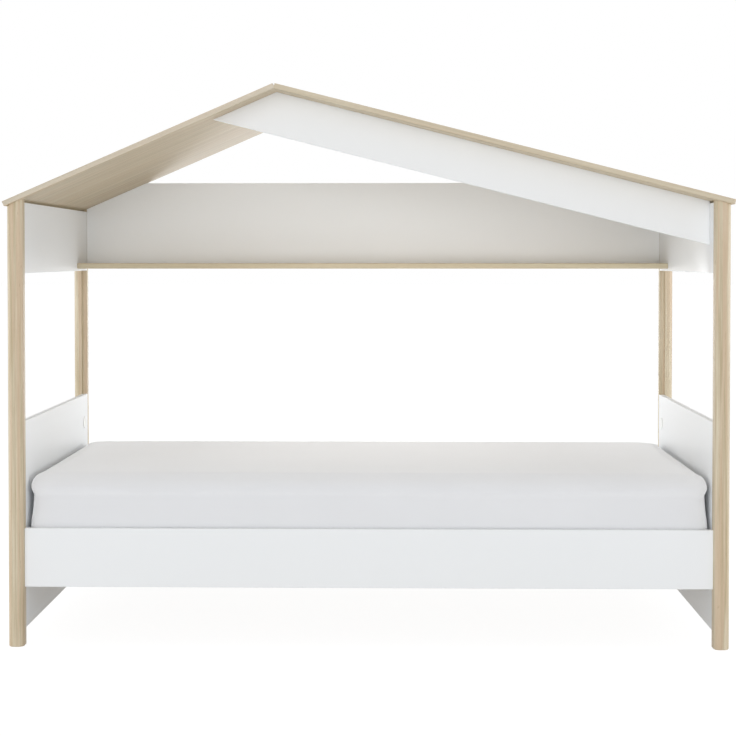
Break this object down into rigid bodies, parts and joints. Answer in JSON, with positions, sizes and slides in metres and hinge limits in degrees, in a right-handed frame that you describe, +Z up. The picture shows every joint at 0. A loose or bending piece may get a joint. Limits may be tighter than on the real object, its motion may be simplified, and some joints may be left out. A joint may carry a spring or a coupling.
{
  "type": "house frame bed",
  "caption": "Child's single bed in a house frame: wood posts and a lopsided pitched roof, white rails and end panels, a back panel with a shelf, and a slatted base with a mattress.",
  "frame": {"origin": "on the floor, at the middle of the box round the whole bed, roof included", "axes": "+X along the bed to the right as seen from the open front, +Y from the front to the rear, +Z up"},
  "size_m": [2.1294, 1, 1.6482],
  "materials": {
    "oak_foil": "satin",
    "oak_board": "satin",
    "white_board": "satin",
    "pine": "matte",
    "webbing": "matte",
    "bedding": "matte",
    "white_plastic": "satin",
    "zinc": "satin",
    "beech": "matte"
  },
  "bodies": {
    "bed_frame": {"front_left_post": "oak_foil", "front_right_post": "oak_foil", "rear_left_post": "oak_foil", "rear_right_post": "oak_foil", "left_roof_panel": "oak_board", "right_roof_panel": "oak_board", "back_shelf": "oak_board", "left_end_panel": "white_board", "right_end_panel": "white_board", "upper_left_end_panel": "white_board", "upper_right_end_panel": "white_board", "front_side_rail": "white_board", "rear_side_rail": "white_board", "upper_back_panel": "white_board", "roof_fascia": "white_board", "front_slat_ledger": "pine", "rear_slat_ledger": "pine", "slats": "pine", "slat_webbing": "webbing", "cup_caps": "white_plastic", "cam_caps": "white_plastic", "bed_bolts": "zinc", "barrel_nuts": "zinc", "cam_discs": "zinc", "cam_bolts": "zinc", "roof_screws": "zinc", "shelf_screws": "zinc", "ledger_screws": "zinc", "ridge_brackets": "zinc", "fascia_bracket": "zinc", "bracket_screws": "zinc", "wood_dowels": "beech"},
    "mattress": {"mattress": "bedding"}
  },
  "joints": [
    {"name": "mattress_lift", "type": "slide", "parent": "bed_frame", "child": "mattress", "axis": [0, 0, 1], "range_m": [0, 0.25]}
  ]
}
